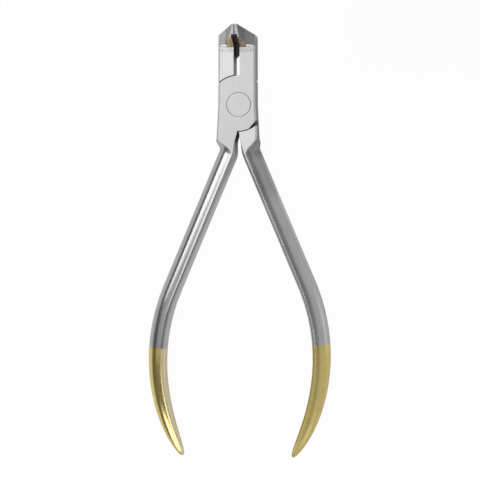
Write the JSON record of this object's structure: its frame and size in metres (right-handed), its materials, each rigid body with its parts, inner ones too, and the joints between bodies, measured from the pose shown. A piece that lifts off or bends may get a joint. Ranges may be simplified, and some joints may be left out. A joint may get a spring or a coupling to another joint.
{
  "type": "orthodontic pliers",
  "caption": "Distal-end cutting pliers with crossing arms on a pinned lap joint, a raised nose with brazed carbide blades, and bowed D-section handles with gold-plated ends.",
  "frame": {"origin": "on the pivot axis, in the plane of the back faces on which the pliers lie", "axes": "+Z along the pivot axis towards the blades' side, +Y towards the cutting tip, +X to the right in the front view"},
  "size_m": [0.0544, 0.1273, 0.012],
  "materials": {
    "satin_steel": "satin, gold-plated towards the handles' ends",
    "pin_steel": "satin",
    "carbide": "ground",
    "braze": "dull"
  },
  "bodies": {
    "rear_half": {"rear_arm": "satin_steel", "pivot_pin": "pin_steel", "left_blade_insert": "carbide", "left_braze": "braze"},
    "front_half": {"front_arm": "satin_steel", "right_blade_insert": "carbide", "right_braze": "braze"}
  },
  "joints": [
    {"name": "pivot", "type": "hinge", "parent": "rear_half", "child": "front_half", "pos_m": [0, 0, 0], "axis": [0, 0, -1], "range_deg": [-0.3, 35]}
  ]
}
